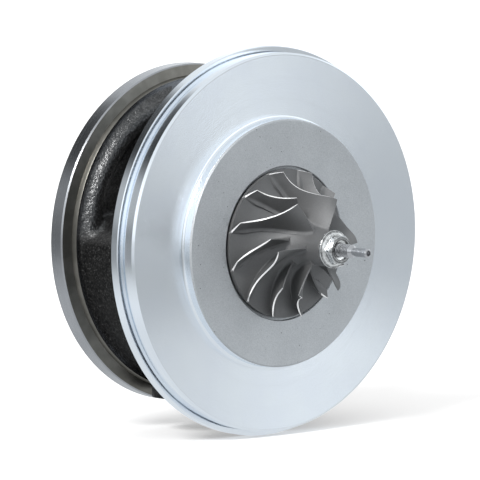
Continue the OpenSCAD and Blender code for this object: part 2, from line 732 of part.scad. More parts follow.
module compressor_piston_ring() {
    piston_ring(front_seal_r, z_web - web_t / 2, front_ring_w);
}

module turbine_piston_ring() {
    piston_ring(rear_seal_r, (z_seal_bore + z_boss_end) / 2, rear_ring_w);
}

// The O-ring fills its groove up to the housing's bore
module seal_plate_o_ring() {
    section = o_ring_groove_depth + fit_clear - 2 * ring_clear;
    color([0.1, 0.1, 0.1]) on_shaft() rotate_extrude()
        translate([spigot_d / 2 - o_ring_groove_depth + ring_clear + section / 2, (z_back + z_spigot) / 2])
            circle(d = section);
}

// Hexagon screws through the front flange into the seal plate
module seal_plate_screws() {
    color([0.55, 0.55, 0.57]) on_shaft() plate_screw_places() {
        rod(plate_screw_d, z_screw_seat, z_back + screw_reach);
        translate([0, 0, z_screw_seat - screw_head_h]) intersection() {
            cylinder(d = screw_af / cos(30), h = screw_head_h, $fn = 6);
            rotate_extrude() polygon([
                [0, 0], [screw_af / 2 - 0.2, 0], [screw_af / cos(30) / 2, 0.6],
                [screw_af / cos(30) / 2, screw_head_h], [0, screw_head_h]
            ]);
        }
    }
}

// Pressed cup: its brim lies in the back of the flange, its floor shields the housing
module heat_shield() {
    cup_r = shield_cup_d / 2;
    floor_r = cup_r - shield_draft;
    hole_r = seal_boss_d / 2 + back_gap;
    color([0.6, 0.58, 0.55]) on_shaft() rotate_extrude() polygon([
        [shield_d / 2, z_seat], [shield_d / 2, z_seat - shield_t], [cup_r + shield_t, z_seat - shield_t],
        [floor_r + shield_t, z_shield - shield_t + 0.8], [floor_r + shield_t - 0.8, z_shield - shield_t],
        [hole_r, z_shield - shield_t], [hole_r, z_shield], [floor_r - 0.4, z_shield],
        [floor_r, z_shield + 0.4], [cup_r, z_seat]
    ]);
}

// Stepped dowel: the thick end is pressed into the flange, the free end has a relieved foot
module turbine_locating_pin() {
    edge = 0.4;
    pin_r = locating_pin_d / 2;
    z_end = z_flange - locating_pin_h;
    color([0.7, 0.7, 0.7]) on_shaft() translate([0, locating_pin_r]) rotate_extrude() polygon([
        [0, z_end], [pin_r - edge, z_end], [pin_r, z_end + edge],
        [pin_r, z_flange - edge], [pin_r - edge, z_flange - edge], [pin_r - edge, z_flange],
        [pin_root_r, z_flange], [pin_root_r, z_flange + pin_depth], [0, z_flange + pin_depth]
    ]);
}

// Turned outline of the casting, from the front flange to the turbine flange
module housing_section() {
    r_bead = bead_d / 2;
    edge = 0.4;
    neck_r = front_flange_d / 2 - screw_ledge_w;
    polygon([
        [0, z_back], [front_flange_d / 2 - edge, z_back], [front_flange_d / 2, z_back - edge],
        [front_flange_d / 2, z_screw_seat + edge], [front_flange_d / 2 - edge, z_screw_seat],
        [neck_r, z_screw_seat], [barrel_d / 2, z_screw_seat - front_flange_t],
        [barrel_d / 2, z_bead], [r_bead, z_bead], [r_bead, z_recess], [collar_r, z_recess],
        [collar_r, z_collar], [slope_d / 2, z_slope], [flange_d / 2, z_flange + flange_t],
        [flange_d / 2, z_flange + edge], [flange_d / 2 - edge, z_flange],
        [shield_d / 2 + fit_clear, z_flange], [shield_d / 2 + fit_clear, z_seat], [rear_boss_r, z_seat],
        [rear_boss_r, z_boss_end], [0, z_boss_end]
    ]);
    translate([r_bead, z_recess]) circle(bead_r);
    root_fillet([barrel_d / 2, z_bead], bead_r);
}

// Outline of the drain casting across the shaft: a round belly under two rounded shoulders
module sump_outline() {
    rise = tan(shoulder_slope);
    reach = sump_r - sump_top / rise;
    // Centre of the rounding, set in from the shoulder and from the belly
    depth = sump_r * sin(shoulder_slope) - shoulder_fillet;
    along = -sqrt(pow(sump_r - shoulder_fillet, 2) - depth * depth);
    centre = [
        depth * sin(shoulder_slope) - along * cos(shoulder_slope),
        depth * cos(shoulder_slope) + along * sin(shoulder_slope)
    ];
    outward = centre / norm(centre);
    difference() {
        intersection() {
            circle(sump_r);
            polygon([
                [-sump_r, 0], [-reach, sump_top], [reach, sump_top], [sump_r, 0],
                [sump_r, -sump_r], [-sump_r, -sump_r]
            ]);
        }
        for (way = [0, 1]) mirror([way, 0]) polygon([
            centre, centre + shoulder_fillet * [sin(shoulder_slope), cos(shoulder_slope)],
            [sump_r + over, over], centre + (shoulder_fillet + over) * outward
        ]);
    }
    for (way = [0, 1]) mirror([way, 0]) translate(centre) circle(shoulder_fillet);
}

// Flat pad with rounded ends under the drain casting
module drain_pad() {
    end_r = drain_pad_l / 2;
    for (x = [-1, 1]) translate([x * (drain_pad_w / 2 - end_r), -drain_pad_z, z_inlet]) rotate([-90, 0, 0])
        cylinder(r = end_r, h = drain_pad_z / 2);
    translate([-drain_pad_w / 2 + end_r, -drain_pad_z, z_inlet - end_r])
        cube([drain_pad_w - drain_pad_l, drain_pad_z / 2, drain_pad_l]);
}

// Boss for the oil inlet, with a cast foot on the barrel
module inlet_boss() {
    foot_y = barrel_d / 2 - inlet_foot_w;
    translate([0, foot_y, z_inlet]) rotate([-90, 0, 0]) {
        cylinder(d = inlet_boss_d, h = inlet_z - foot_y);
        cylinder(d1 = inlet_boss_d + 2 * inlet_foot_w, d2 = inlet_boss_d, h = 3 * inlet_foot_w);
    }
}

// Ribs between the barrel and the turbine flange
module ribs() {
    run = 12;
    for (a = [-rib_angle, rib_angle]) rotate(90 + a) rotate([90, 0, 0])
        translate([0, 0, -rib_t / 2]) linear_extrude(rib_t) polygon([
            [barrel_d / 2 - 2, z_bead - 1], [bead_d / 2 + 1, z_bead - 1], [bead_d / 2 + 1, z_recess + 1],
            [barrel_d / 2 - 2, z_recess + run]
        ]);
}

// Bores on the shaft axis, with the circlip grooves
module shaft_bores() {
    rotate_extrude() polygon([
        [0, z_back + over], [spigot_bore_r, z_back + over], [spigot_bore_r, z_thrust],
        [thrust_d / 2 + fit_clear, z_thrust], [thrust_d / 2 + fit_clear, z_thrust_back],
        [cavity_r, z_thrust_back], [cavity_r, z_bore], [bore_r, z_bore], [bore_r, z_bore_end],
        [slinger_r, z_bore_end], [slinger_r, z_seal_bore], [rear_seal_r, z_seal_bore],
        [rear_seal_r, z_boss_end - over], [0, z_boss_end - over]
    ]);
    circlip_places() rod(bearing_bore_d + 2 * circlip_groove, -circlip_t, 0);
}

// Oil ways: tapped inlet over a well, and galleries from the well to both bushes and the thrust bearing
module oil_inlet_ways() {
    well_d = inlet_d - 1.6;
    well_y = inlet_z - inlet_depth - well_depth;
    translate([0, inlet_z + over, z_inlet]) rotate([90, 0, 0]) cylinder(d = inlet_d, h = inlet_depth + over);
    translate([0, well_y, z_inlet]) rotate([-90, 0, 0]) cylinder(d = well_d, h = well_depth + over);
    for (bush = [[z_front_bush, 1], [z_rear_bush, -1]])
        drilling(gallery_d, [well_y + gallery_d, z_inlet + bush[1] * gallery_d / 2],
            [bore_r - over, bush[0] - bush_l / 2]);
    drilling(gallery_d, [well_y + 3 * gallery_d, z_inlet], [thrust_pin_r, z_thrust_back + over]);
}

// Drain chamber under the bearings, open to the thrust and slinger chambers and to the drain port
module oil_drain_ways() {
    half_w = 10;
    top = bore_r + bore_wall;
    bottom = 34;
    slot = z_front_bush - bush_l - z_rear_bush - 2 * circlip_t - 1;
    translate([-half_w, -bottom, z_seal_bore]) cube([2 * half_w, bottom - top, z_thrust_back - z_seal_bore]);
    translate([-half_w / 2, -bottom, z_inlet - slot / 2]) cube([half_w, bottom, slot]);
    for (span = [[z_bore, z_thrust_back], [z_seal_bore, z_bore_end]])
        translate([-half_w / 2, -bottom, span[0]]) cube([half_w, bottom - 2, span[1] - span[0]]);
    translate([0, -drain_pad_z - over, z_inlet]) rotate([-90, 0, 0])
        cylinder(d = drain_d, h = drain_pad_z - bottom + 2 * over);
    for (x = [-1, 1]) translate([x * drain_bolt_pitch / 2, -drain_pad_z - over, z_inlet]) rotate([-90, 0, 0])
        cylinder(d = drain_bolt_d, h = drain_bolt_depth + over);
}

// The casting with all its machined bores
module bearing_housing() {
    color([0.12, 0.12, 0.13]) on_shaft() difference() {
        union() {
            rotate_extrude() housing_section();
            translate([0, 0, z_bead - 1]) linear_extrude(z_sump - z_bead + 1) sump_outline();
            drain_pad();
            inlet_boss();
            ribs();
        }
        shaft_bores();
        oil_inlet_ways();
        oil_drain_ways();
        plate_screw_places() rod(plate_screw_d + 2 * fit_clear, z_screw_seat - over, z_back + over);
        thrust_pin_places() rod(thrust_pin_d, z_thrust_back - thrust_pin_depth, z_thrust_back + over);
        translate([0, locating_pin_r]) rod(2 * pin_root_r, z_flange - over, z_flange + pin_depth);
    }
}

seal_plate();
compressor_wheel();
shaft_nut();
rotor_shaft();
turbine_wheel();
oil_flinger();
thrust_collar();
thrust_bearing();
thrust_bearing_pins();
oil_deflector();
front_journal_bush();
rear_journal_bush();
bush_circlips();
compressor_piston_ring();
turbine_piston_ring();
seal_plate_o_ring();
seal_plate_screws();
heat_shield();
turbine_locating_pin();
bearing_housing();
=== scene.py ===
import math

import bpy
from mathutils import Matrix, Vector


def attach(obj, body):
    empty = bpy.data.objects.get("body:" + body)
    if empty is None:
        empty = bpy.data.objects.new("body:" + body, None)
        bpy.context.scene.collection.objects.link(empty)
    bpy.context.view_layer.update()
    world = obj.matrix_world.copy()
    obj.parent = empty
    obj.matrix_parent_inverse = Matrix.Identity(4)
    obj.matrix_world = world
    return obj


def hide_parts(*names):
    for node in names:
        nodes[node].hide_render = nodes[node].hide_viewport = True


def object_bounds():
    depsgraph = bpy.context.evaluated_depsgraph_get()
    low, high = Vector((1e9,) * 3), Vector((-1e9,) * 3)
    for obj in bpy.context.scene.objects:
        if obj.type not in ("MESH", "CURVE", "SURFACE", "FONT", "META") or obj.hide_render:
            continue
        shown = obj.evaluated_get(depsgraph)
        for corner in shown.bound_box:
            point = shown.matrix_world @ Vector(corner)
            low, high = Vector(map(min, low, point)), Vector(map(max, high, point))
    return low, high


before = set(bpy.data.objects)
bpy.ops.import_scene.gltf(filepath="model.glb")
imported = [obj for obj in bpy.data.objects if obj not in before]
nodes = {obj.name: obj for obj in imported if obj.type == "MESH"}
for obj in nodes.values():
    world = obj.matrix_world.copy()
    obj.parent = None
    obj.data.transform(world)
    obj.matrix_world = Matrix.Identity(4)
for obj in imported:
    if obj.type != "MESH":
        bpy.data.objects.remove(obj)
cad_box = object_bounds()
MM = 0.001


# Bearing housing: one black iron sand casting that carries every other piece.
# It is cast with spare stock on the faces, which are then turned, faced and drilled to size.
# Its skin is coloured lighter and metallic in the upper half, as painted sheen, and near black in the
# lower half, as painted shade.
class Tone:
    """A value at each point of a finish. Arithmetic on it adds Math nodes to that finish."""

    def __init__(self, tree, socket=None):
        self.tree = tree
        self.socket = socket

    def node(self, kind, settings=None, inputs=None, out=0):
        """Adds one node: its settings first, then the values or links of its sockets."""
        made = self.tree.nodes.new("ShaderNode" + kind)
        for name, value in (settings or {}).items():
            setattr(made, name, value)
        for name, value in (inputs or {}).items():
            if isinstance(value, Tone):
                self.tree.links.new(value.socket, made.inputs[name])
            else:
                made.inputs[name].default_value = value
        return Tone(self.tree, made.outputs[out] if len(made.outputs) else None)

    def math(self, operation, *values):
        return self.node("Math", {"operation": operation}, dict(enumerate(values)))

    def __add__(self, other):
        return self.math("ADD", self, other)

    def __sub__(self, other):
        return self.math("SUBTRACT", self, other)

    def __rsub__(self, other):
        return self.math("SUBTRACT", other, self)

    def __mul__(self, other):
        return self.math("MULTIPLY", self, other)

    def __gt__(self, other):
        return self.math("GREATER_THAN", self, other)

    def __lt__(self, other):
        return self.math("LESS_THAN", self, other)

    def __or__(self, other):
        return self.math("MAXIMUM", self, other)

    __radd__ = __add__
    __rmul__ = __mul__

    def rise(self, low, high):
        """0 below low and 1 above high, with a soft step between."""
        return self.node(
            "MapRange",
            {"interpolation_type": "SMOOTHSTEP"},
            {"Value": self, "From Min": low, "From Max": high},
        )

    def blend(self, at_zero, at_one):
        """The colour at_zero where this value is 0, and at_one where it is 1."""
        return self.node("Mix", {"data_type": "RGBA"}, {0: self, 6: at_zero, 7: at_one}, out=2)

    def part(self, axis):
        """One coordinate of a place."""
        return self.node("SeparateXYZ", inputs={"Vector": self}, out=axis)

    def radius(self):
        """Distance of a place from the shaft's axis."""
        flat = self.node("VectorMath", {"operation": "MULTIPLY"}, {0: self, 1: (1, 0, 1)})
        return flat.node("VectorMath", {"operation": "LENGTH"}, {0: flat}, out="Value")

    def grain(self, size, detail=2.0):
        """Noise over a place, with lumps of about this size in millimetres."""
        return self.node("TexNoise", inputs={"Vector": self, "Scale": 1 / size, "Detail": detail})

    def tool_lines(self, pitch):
        """Turning marks round the shaft, about this far apart in millimetres."""
        lathe = self.node("CombineXYZ", inputs={"X": self.radius(), "Y": self.part("Y")})
        return lathe.node(
            "TexNoise",
            {"noise_dimensions": "2D"},
            {"Vector": lathe, "Scale": 1 / pitch, "Detail": 2.0},
        )


def start_finish(name):
    """A new finish, and the place on its piece in millimetres."""
    finish = bpy.data.materials.new(name)
    finish.use_nodes = True
    finish.node_tree.nodes.clear()
    metres = Tone(finish.node_tree).node("TexCoord", out="Object")
    return finish, metres.node("VectorMath", {"operation": "SCALE"}, {0: metres, "Scale": 1 / MM})


def end_finish(finish, surface, height):
    """Joins values to the shader's sockets; a height in millimetres shapes the normal."""
    root = Tone(finish.node_tree)
    normal = root.node("Bump", inputs={"Height": height, "Distance": MM})
    shader = root.node("BsdfPrincipled", inputs={**surface, "Normal": normal})
    root.node("OutputMaterial", inputs={"Surface": shader})


def dress(finish, *names):
    """Puts a finish on CAD nodes."""
    for name in names:
        for slot in nodes[name].material_slots:
            slot.material = finish


def pick(*pieces):
    """Selects only these pieces and makes the first one active."""
    bpy.ops.object.select_all(action="DESELECT")
    for piece in pieces:
        piece.select_set(True)
    bpy.context.view_layer.objects.active = pieces[0]


def turned(name, outline, steps=128):
    """A solid turned about the shaft; the outline is (radius, place along the shaft) in millimetres."""
    points = [Vector((radius, along, 0)) * MM for radius, along in outline]
    bpy.ops.object.select_all(action="DESELECT")
    bpy.ops.mesh.primitive_plane_add(size=MM)
    piece = bpy.context.object
    piece.name = name
    bpy.ops.object.mode_set(mode="EDIT")
    bpy.ops.mesh.merge(type="CENTER")
    bpy.ops.transform.translate(value=points[0])
    for here, there in zip(points, points[1:]):
        bpy.ops.mesh.extrude_region_move(TRANSFORM_OT_translate={"value": there - here})
    bpy.ops.mesh.select_all(action="SELECT")
    bpy.ops.mesh.spin(steps=steps, angle=2 * math.pi, center=(0, 0, 0), axis=(0, 1, 0))
    bpy.ops.mesh.select_all(action="SELECT")
    bpy.ops.mesh.remove_doubles(threshold=MM / 1000)
    bpy.ops.mesh.normals_make_consistent(inside=False)
    bpy.ops.object.mode_set(mode="OBJECT")
    return piece


def rod(name, radius, start, end, sides=64):
    """A plain round bar between two places in millimetres."""
    start = Vector(start) * MM
    end = Vector(end) * MM
    run = end - start
    bpy.ops.object.select_all(action="DESELECT")
    bpy.ops.mesh.primitive_cylinder_add(
        vertices=sides,
        radius=radius * MM,
        depth=run.length,
        location=(start + end) / 2,
        rotation=run.to_track_quat("Z", "Y").to_euler(),
    )
    piece = bpy.context.object
    piece.name = name
    bpy.ops.object.transform_apply(location=True, rotation=True, scale=True)
    return piece


def apply(piece, kind, **settings):
    """Adds one modifier to a piece and applies it."""
    pick(piece)
    step = piece.modifiers.new(kind.lower(), kind)
    for name, value in settings.items():
        setattr(step, name, value)
    bpy.ops.object.modifier_apply(modifier=step.name)


def combine(piece, how, *tools):
    """Welds tools to a piece or cuts them out of it; a cut face takes the tool's finish."""
    for tool in tools:
        if not tool.data.materials:
            tool.data.materials.append(piece.data.materials[0])
        apply(piece, "BOOLEAN", operation=how, solver="MANIFOLD", material_mode="TRANSFER", object=tool)
        bpy.data.objects.remove(tool)


def join(*pieces):
    """Puts pieces into one mesh, that of the first."""
    pick(*pieces)
    bpy.ops.object.join()


def copy_of_node(name, node):
    """A new piece with the merged mesh of a CAD node."""
    piece = bpy.data.objects.new(name, nodes[node].data.copy())
    bpy.context.collection.objects.link(piece)
    pick(piece)
    bpy.ops.object.mode_set(mode="EDIT")
    bpy.ops.mesh.select_all(action="SELECT")
    bpy.ops.mesh.remove_doubles(threshold=MM / 1000)
    bpy.ops.object.mode_set(mode="OBJECT")
    piece.data.materials.clear()
    return piece


def settle(piece, node, body, crease=30):
    """Smooths a finished piece up to its creases and lets it stand for its CAD node."""
    pick(piece)
    bpy.ops.object.shade_smooth_by_angle(angle=math.radians(crease))
    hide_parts(node)
    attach(piece, body)


def clamp(value):
    """The value, held between 0 and 1."""
    return max(0.0, min(1.0, value))


cast_iron, place = start_finish("cast_iron")
sand = place.grain(0.9)
lumps = place.grain(2.2)
bare = place.grain(0.5, 0.0).rise(0.64, 0.74)
# Painted sheen and shade: above the shaft the skin is coloured lighter and metallic, below it near black.
painted_sheen_above = place.part("Z").rise(-1, 6)
skin = (sand * 0.7 + lumps * 0.3).rise(0.4, 0.62)
painted_shade_skin = skin.blend((0.003, 0.003, 0.0032, 1), (0.012, 0.0118, 0.0115, 1))
painted_sheen_skin = skin.blend((0.072, 0.072, 0.073, 1), (0.115, 0.115, 0.115, 1))
end_finish(
    cast_iron,
    {
        "Base Color": painted_sheen_above.blend(
            bare.blend(painted_shade_skin, (0.045, 0.045, 0.045, 1)),
            bare.blend(painted_sheen_skin, (0.16, 0.16, 0.16, 1)),
        ),
        "Metallic": painted_sheen_above * 0.9,
        "Roughness": 0.42 + sand * 0.12 - painted_sheen_above * 0.18,
        "Specular IOR Level": 0.13,
    },
    sand * 0.34 + lumps * 0.2,
)
slope_inner = 59.5
slope_outer = 63.8
slope_back = 43
turned_iron, place = start_finish("turned_iron")
lines = place.tool_lines(0.16)
stain = place.grain(6.0)
in_ring = (place.radius() > slope_inner) * (place.radius() < slope_outer)
on_slope = in_ring * (place.part("Y") < slope_back)
bright = stain.rise(0.35, 0.7).blend((0.385, 0.39, 0.405, 1), (0.41, 0.415, 0.43, 1))
dull = stain.rise(0.35, 0.7).blend((0.165, 0.158, 0.14, 1), (0.21, 0.20, 0.18, 1))
end_finish(
    turned_iron,
    {
        "Base Color": on_slope.blend(bright, dull),
        "Metallic": 1.0,
        "Roughness": 0.2 + lines * 0.1 + on_slope * 0.12,
    },
    lines * 0.004,
)

front_face = 3.7
screw_ledge = 11.7
front_flange_r = 54
core_r = 24
core_end = 47
core_wall = 20
oil_y = 29.25
boss_top = 47
boss_r = 11
pad_bottom = -60
pad_half = 18
pad_end_r = 10
pad_depth = 20
pad_top = -40
stock = 2
weld_gap = 0.1
casting = copy_of_node("housing_casting", "bearing_housing")
plugs = [
    turned("bore_plug", [
        (0, front_face - stock), (front_flange_r, front_face - stock),
        (front_flange_r, screw_ledge - weld_gap), (core_r, screw_ledge - weld_gap),
        (core_r, core_end), (0, core_end),
    ]),
    rod("inlet_plug", boss_r, (0, oil_y, core_wall), (0, oil_y, boss_top + stock)),
    rod("drain_plug", pad_end_r, (0, oil_y, pad_bottom - stock), (0, oil_y, -core_wall)),
]
for side in (-1, 1):
    pad_foot = (side * pad_half, oil_y, pad_bottom - stock)
    plugs.append(rod("pad_end", pad_end_r, pad_foot, (side * pad_half, oil_y, pad_top)))
pad_centre = pad_bottom - stock + pad_depth / 2
bpy.ops.object.select_all(action="DESELECT")
bpy.ops.mesh.primitive_cube_add(size=1, location=(0, oil_y * MM, pad_centre * MM))
pad_middle = bpy.context.object
pad_middle.scale = (2 * pad_half * MM, 2 * pad_end_r * MM, pad_depth * MM)
bpy.ops.object.transform_apply(location=True, rotation=True, scale=True)
join(casting, *plugs, pad_middle)
apply(casting, "REMESH", mode="VOXEL", voxel_size=1.1 * MM)
apply(casting, "SMOOTH", factor=0.5, iterations=10)
# The pattern is rounded most along the top front edge of the oil sump.
sump_front = 18
sump_top = 9
shoulder_end = 57
shoulder_rise = math.tan(math.radians(36))
soft_r = 5
soft_edges = casting.vertex_groups.new(name="soft_edges")
for vertex in casting.data.vertices:
    across, along, up = vertex.co / MM
    top = min(sump_top, (shoulder_end - abs(across)) * shoulder_rise)
    off_edge = math.hypot(along - sump_front, up - top)
    soft_edges.add([vertex.index], clamp(1.5 - off_edge / soft_r), "REPLACE")
apply(casting, "SMOOTH", factor=0.5, iterations=80, vertex_group="soft_edges")
mould = bpy.data.textures.new("mould_lumps", "CLOUDS")
mould.noise_scale = 2.5 * MM
apply(casting, "DISPLACE", texture=mould, strength=0.4 * MM, mid_level=0.5)
casting.data.materials.append(cast_iron)

flange_r = 64.25
flange_back = 49.2
skin_r = 57.6
skin_end = 43.5
skin_rim = 39.3
clear_r = 80
clear_back = 60
combine(casting, "DIFFERENCE", turned("skin_trim", [
    (0, skin_end), (skin_r, skin_end), (skin_r, skin_rim), (clear_r, skin_rim), (clear_r, clear_back),
    (0, clear_back),
]))
bush_bore_r = 7
groove_r = 7.5
groove_width = 0.8
clip_grooves = []
for near in (15.85, 25.15, 32.55, 41.85):
    away = near + groove_width
    clip_grooves += [(bush_bore_r, near), (groove_r, near), (groove_r, away), (bush_bore_r, away)]
inlet_r = 5.1
inlet_floor = 31
well_r = 4.3
well_floor = 21
drain_r = 9
pin_seat_r = 2.5
pin_seat_floor = 43.8
pin_up = 56
drain_bolt_r = 3.4
drain_bolt_across = 20
drain_bolt_end = -46
screw_count = 6
screw_circle_r = 47
screw_hole_r = 2.6
screw_hole_end = 14
boss_cutter_r = 16
pad_cutter_r = 40
overrun = 10
above_boss = (0, oil_y, boss_top + overrun)
below_pad = (0, oil_y, pad_bottom - overrun)
machined = [
    ("DIFFERENCE", turned("front_facing", [(0, -5), (70, -5), (70, front_face), (0, front_face)])),
    ("DIFFERENCE", rod("boss_facing", boss_cutter_r, (0, oil_y, boss_top), above_boss)),
    ("DIFFERENCE", rod("pad_facing", pad_cutter_r, below_pad, (0, oil_y, pad_bottom))),
    ("UNION", turned("turbine_flange", [
        (0, 43), (55, 43), (55, 40.6), (59.1, 40.6), (59.1, 39.85), (59.25, 39.7), (59.55, 39.7),
        (59.72, 40), (60.05, 41.7), (slope_outer, 42.7), (flange_r, 43.25), (flange_r, flange_back - 0.4),
        (flange_r - 0.4, flange_back), (40.1, flange_back), (40.1, 46.5), (13.85, 46.5), (13.85, 52.4),
        (0, 52.4),
    ])),
    ("DIFFERENCE", turned("bearing_bores", [
        (0, 2), (36.1, 2), (36.1, 8.8), (22.1, 8.8), (22.1, 12.8), (11, 12.8), (11, 15.05),
        (bush_bore_r, 15.05), *clip_grooves, (bush_bore_r, 43.45), (11.45, 43.45), (11.45, 45.85),
        (8.85, 45.85), (8.85, 54), (0, 54),
    ])),
    ("DIFFERENCE", rod("inlet_drill", inlet_r, (0, oil_y, inlet_floor), above_boss)),
    ("DIFFERENCE", rod("well_drill", well_r, (0, oil_y, well_floor), (0, oil_y, inlet_floor + 1))),
    ("DIFFERENCE", rod("drain_drill", drain_r, below_pad, (0, oil_y, -core_wall))),
    ("DIFFERENCE", rod("pin_drill", pin_seat_r, (0, pin_seat_floor, pin_up), (0, clear_back, pin_up))),
]
for across in (-drain_bolt_across, drain_bolt_across):
    bolt_start = (across, oil_y, pad_bottom - overrun)
    bolt_end = (across, oil_y, drain_bolt_end)
    machined.append(("DIFFERENCE", rod("bolt_drill", drain_bolt_r, bolt_start, bolt_end)))
screw_places = []
for turn in range(screw_count):
    angle = turn * 2 * math.pi / screw_count
    screw_places.append((screw_circle_r * math.cos(angle), screw_circle_r * math.sin(angle)))
for across, up in screw_places:
    screw_end = (across, screw_hole_end, up)
    machined.append(("DIFFERENCE", rod("screw_drill", screw_hole_r, (across, 0, up), screw_end)))
for how, tool in machined:
    tool.data.materials.append(turned_iron)
    combine(casting, how, tool)
settle(casting, "bearing_housing", "housing")


# Pins: ground steel dowels, pressed into the housing.
# One sets the angle of the turbine housing on its flange, two keep the thrust bearing from turning.
ground_steel, place = start_finish("ground_steel")
lines = place.tool_lines(0.12)
haze = place.grain(3.0)
end_finish(
    ground_steel,
    {
        "Base Color": haze.blend((0.46, 0.46, 0.47, 1), (0.56, 0.56, 0.57, 1)),
        "Metallic": 1.0,
        "Roughness": 0.2 + haze * 0.12,
    },
    lines * 0.003,
)
dress(ground_steel, "turbine_locating_pin", "thrust_bearing_pins")


# Journal bushes and thrust bearing: bored and turned from leaded bronze.
# The bushes float in oil between shaft and housing, and the thrust plate sits on its two pins.
bronze, place = start_finish("bearing_bronze")
lines = place.tool_lines(0.15)
tarnish = place.grain(4.0, 4.0)
end_finish(
    bronze,
    {
        "Base Color": tarnish.rise(0.3, 0.75).blend((0.60, 0.40, 0.17, 1), (0.46, 0.29, 0.13, 1)),
        "Metallic": 1.0,
        "Roughness": 0.24 + tarnish * 0.2,
    },
    lines * 0.004,
)
dress(bronze, "front_journal_bush", "rear_journal_bush", "thrust_bearing")


# Circlips and piston rings: wound spring steel, blued by its heat treatment.
# They snap into grooves and stay there by their own spring.
spring_steel, place = start_finish("spring_steel")
lines = place.tool_lines(0.1)
blueing = place.grain(2.5)
end_finish(
    spring_steel,
    {
        "Base Color": blueing.blend((0.16, 0.17, 0.20, 1), (0.27, 0.27, 0.28, 1)),
        "Metallic": 1.0,
        "Roughness": 0.28 + blueing * 0.14,
    },
    lines * 0.003,
)
dress(spring_steel, "bush_circlips", "compressor_piston_ring", "turbine_piston_ring")


# Heat shield and oil deflector: cups pressed from thin steel sheet.
# The shield sits in the back of the turbine flange, the deflector in front of the thrust bearing.
sheet_steel, place = start_finish("pressed_sheet")
drawn = place.tool_lines(0.4)
bloom = place.grain(9.0, 3.0)
end_finish(
    sheet_steel,
    {
        "Base Color": bloom.rise(0.3, 0.7).blend((0.44, 0.42, 0.39, 1), (0.52, 0.51, 0.50, 1)),
        "Metallic": 1.0,
        "Roughness": 0.3 + bloom * 0.14,
    },
    drawn * 0.01,
)
dress(sheet_steel, "heat_shield", "oil_deflector")


# Turbine wheel: cast in a nickel heat alloy and welded to the shaft.
# The investment casting leaves a dull grey, slightly brown skin; the blade edges are ground to size.
def curve_at(points, t):
    """The place on a cubic curve with four control points, from 0 to 1."""
    a, b, c, d = (Vector(point) for point in points)
    s = 1 - t
    return s ** 3 * a + 3 * s * s * t * b + 3 * s * t * t * c + t ** 3 * d


def mix(a, b, share):
    """The value that far on the way from a to b."""
    return a + (b - a) * share


def blade(name, finishes, root_path, edge_path, sweep, starts, root_t, edge_t, fillet):
    """One closed blade between a path on the hub and that of its edge, both (radius, along the shaft).
    It has one finish on its faces and one where its edge is turned to size. sweep gives its angle
    in degrees, and starts where its open edge begins on root and edge."""
    sink = 0.9
    trim = 0.08
    row_bias = 2.3
    lead_share = 0.12
    tail_share = 0.1
    fillet_share = 0.15
    edge_steps = 100
    edge_band = 0.6
    bpy.ops.object.select_all(action="DESELECT")
    bpy.ops.mesh.primitive_grid_add(x_subdivisions=40, y_subdivisions=22, size=1)
    piece = bpy.context.object
    piece.name = name
    for finish in finishes:
        piece.data.materials.append(finish)
    widths = piece.vertex_groups.new(name="thickness")
    widest = root_t + 2 * fillet
    for vertex in piece.data.vertices:
        row = (vertex.co.y + 0.5) ** row_bias
        start = mix(starts[0], starts[1], row)
        t = mix(start, 1, vertex.co.x + 0.5)
        root = curve_at(root_path, t)
        rise = curve_at(edge_path, t) - root
        share = mix(-sink / rise.length, 1, row)
        height = max(0, share * rise.length)
        radius, along = root + rise * share
        angle = math.radians(sweep(t, share))
        lead = mix(0.5, 1, clamp((t - start) / lead_share))
        tail = mix(0.5, 1, clamp((1 - t) / tail_share))
        fillets = 2 * fillet * clamp((1 - t) / fillet_share) * clamp(1 - height / fillet) ** 3
        width = mix(root_t, edge_t, clamp(share)) * lead * tail + fillets
        widths.add([vertex.index], width / widest, "REPLACE")
        radius -= trim
        vertex.co = Vector((radius * math.cos(angle), along, radius * math.sin(angle))) * MM
    apply(
        piece,
        "SOLIDIFY",
        thickness=widest * MM,
        offset=0,
        vertex_group="thickness",
        material_offset_rim=1,
    )
    sized = [curve_at(edge_path, step / edge_steps) for step in range(edge_steps + 1)]
    rim_r = sized[-1].x
    for face in piece.data.polygons:
        spot = Vector((math.hypot(face.center.x, face.center.z), face.center.y)) / MM
        off_edge = min((spot - point).length for point in sized)
        if spot.x < rim_r - edge_band and off_edge > edge_band:
            face.material_index = 0
    return piece


def spaced(piece, count, first=0):
    """Copies of a piece round the shaft, in place of the one that is given."""
    copies = []
    for turn in range(count):
        other = piece.copy()
        other.data = piece.data.copy()
        other.data.transform(Matrix.Rotation(-math.radians(first + turn * 360 / count), 4, "Y"))
        bpy.context.collection.objects.link(other)
        copies.append(other)
    bpy.data.objects.remove(piece)
    return copies


heat_alloy, place = start_finish("cast_heat_alloy")
pores = place.grain(0.35, 3.0)
scale = place.grain(5.0, 3.0)
end_finish(
    heat_alloy,
    {
        "Base Color": scale.rise(0.3, 0.7).blend((0.25, 0.235, 0.215, 1), (0.33, 0.315, 0.30, 1)),
        "Metallic": 1.0,
        "Roughness": 0.4 + pores * 0.16,
    },
    pores * 0.03,
)
ground_edge, place = start_finish("ground_heat_alloy")
lines = place.tool_lines(0.15)
end_finish(
    ground_edge,
    {
        "Base Color": lines.blend((0.45, 0.43, 0.41, 1), (0.56, 0.54, 0.52, 1)),
        "Metallic": 1.0,
        "Roughness": 0.24 + lines * 0.1,
    },
    lines * 0.004,
)
turbine_blades = 11
turbine_turn = 42
turbine_root = [(6.5, 74.6), (6.5, 65.6), (10, 56.4), (26, 55.8)]
turbine_edge = [(22.5, 74.6), (22.5, 68.6), (22.5, 61.1), (26, 61.1)]
hub_steps = 48
hub_end = 0.86
turbine = turned("turbine_wheel_cast", [(0, 54.6), (8.7, 54.6), (20, 55.4)] + [
    tuple(curve_at(turbine_root, hub_end * (1 - step / hub_steps))) for step in range(hub_steps + 1)
] + [(5.5, 76.1), (0, 76.1)])
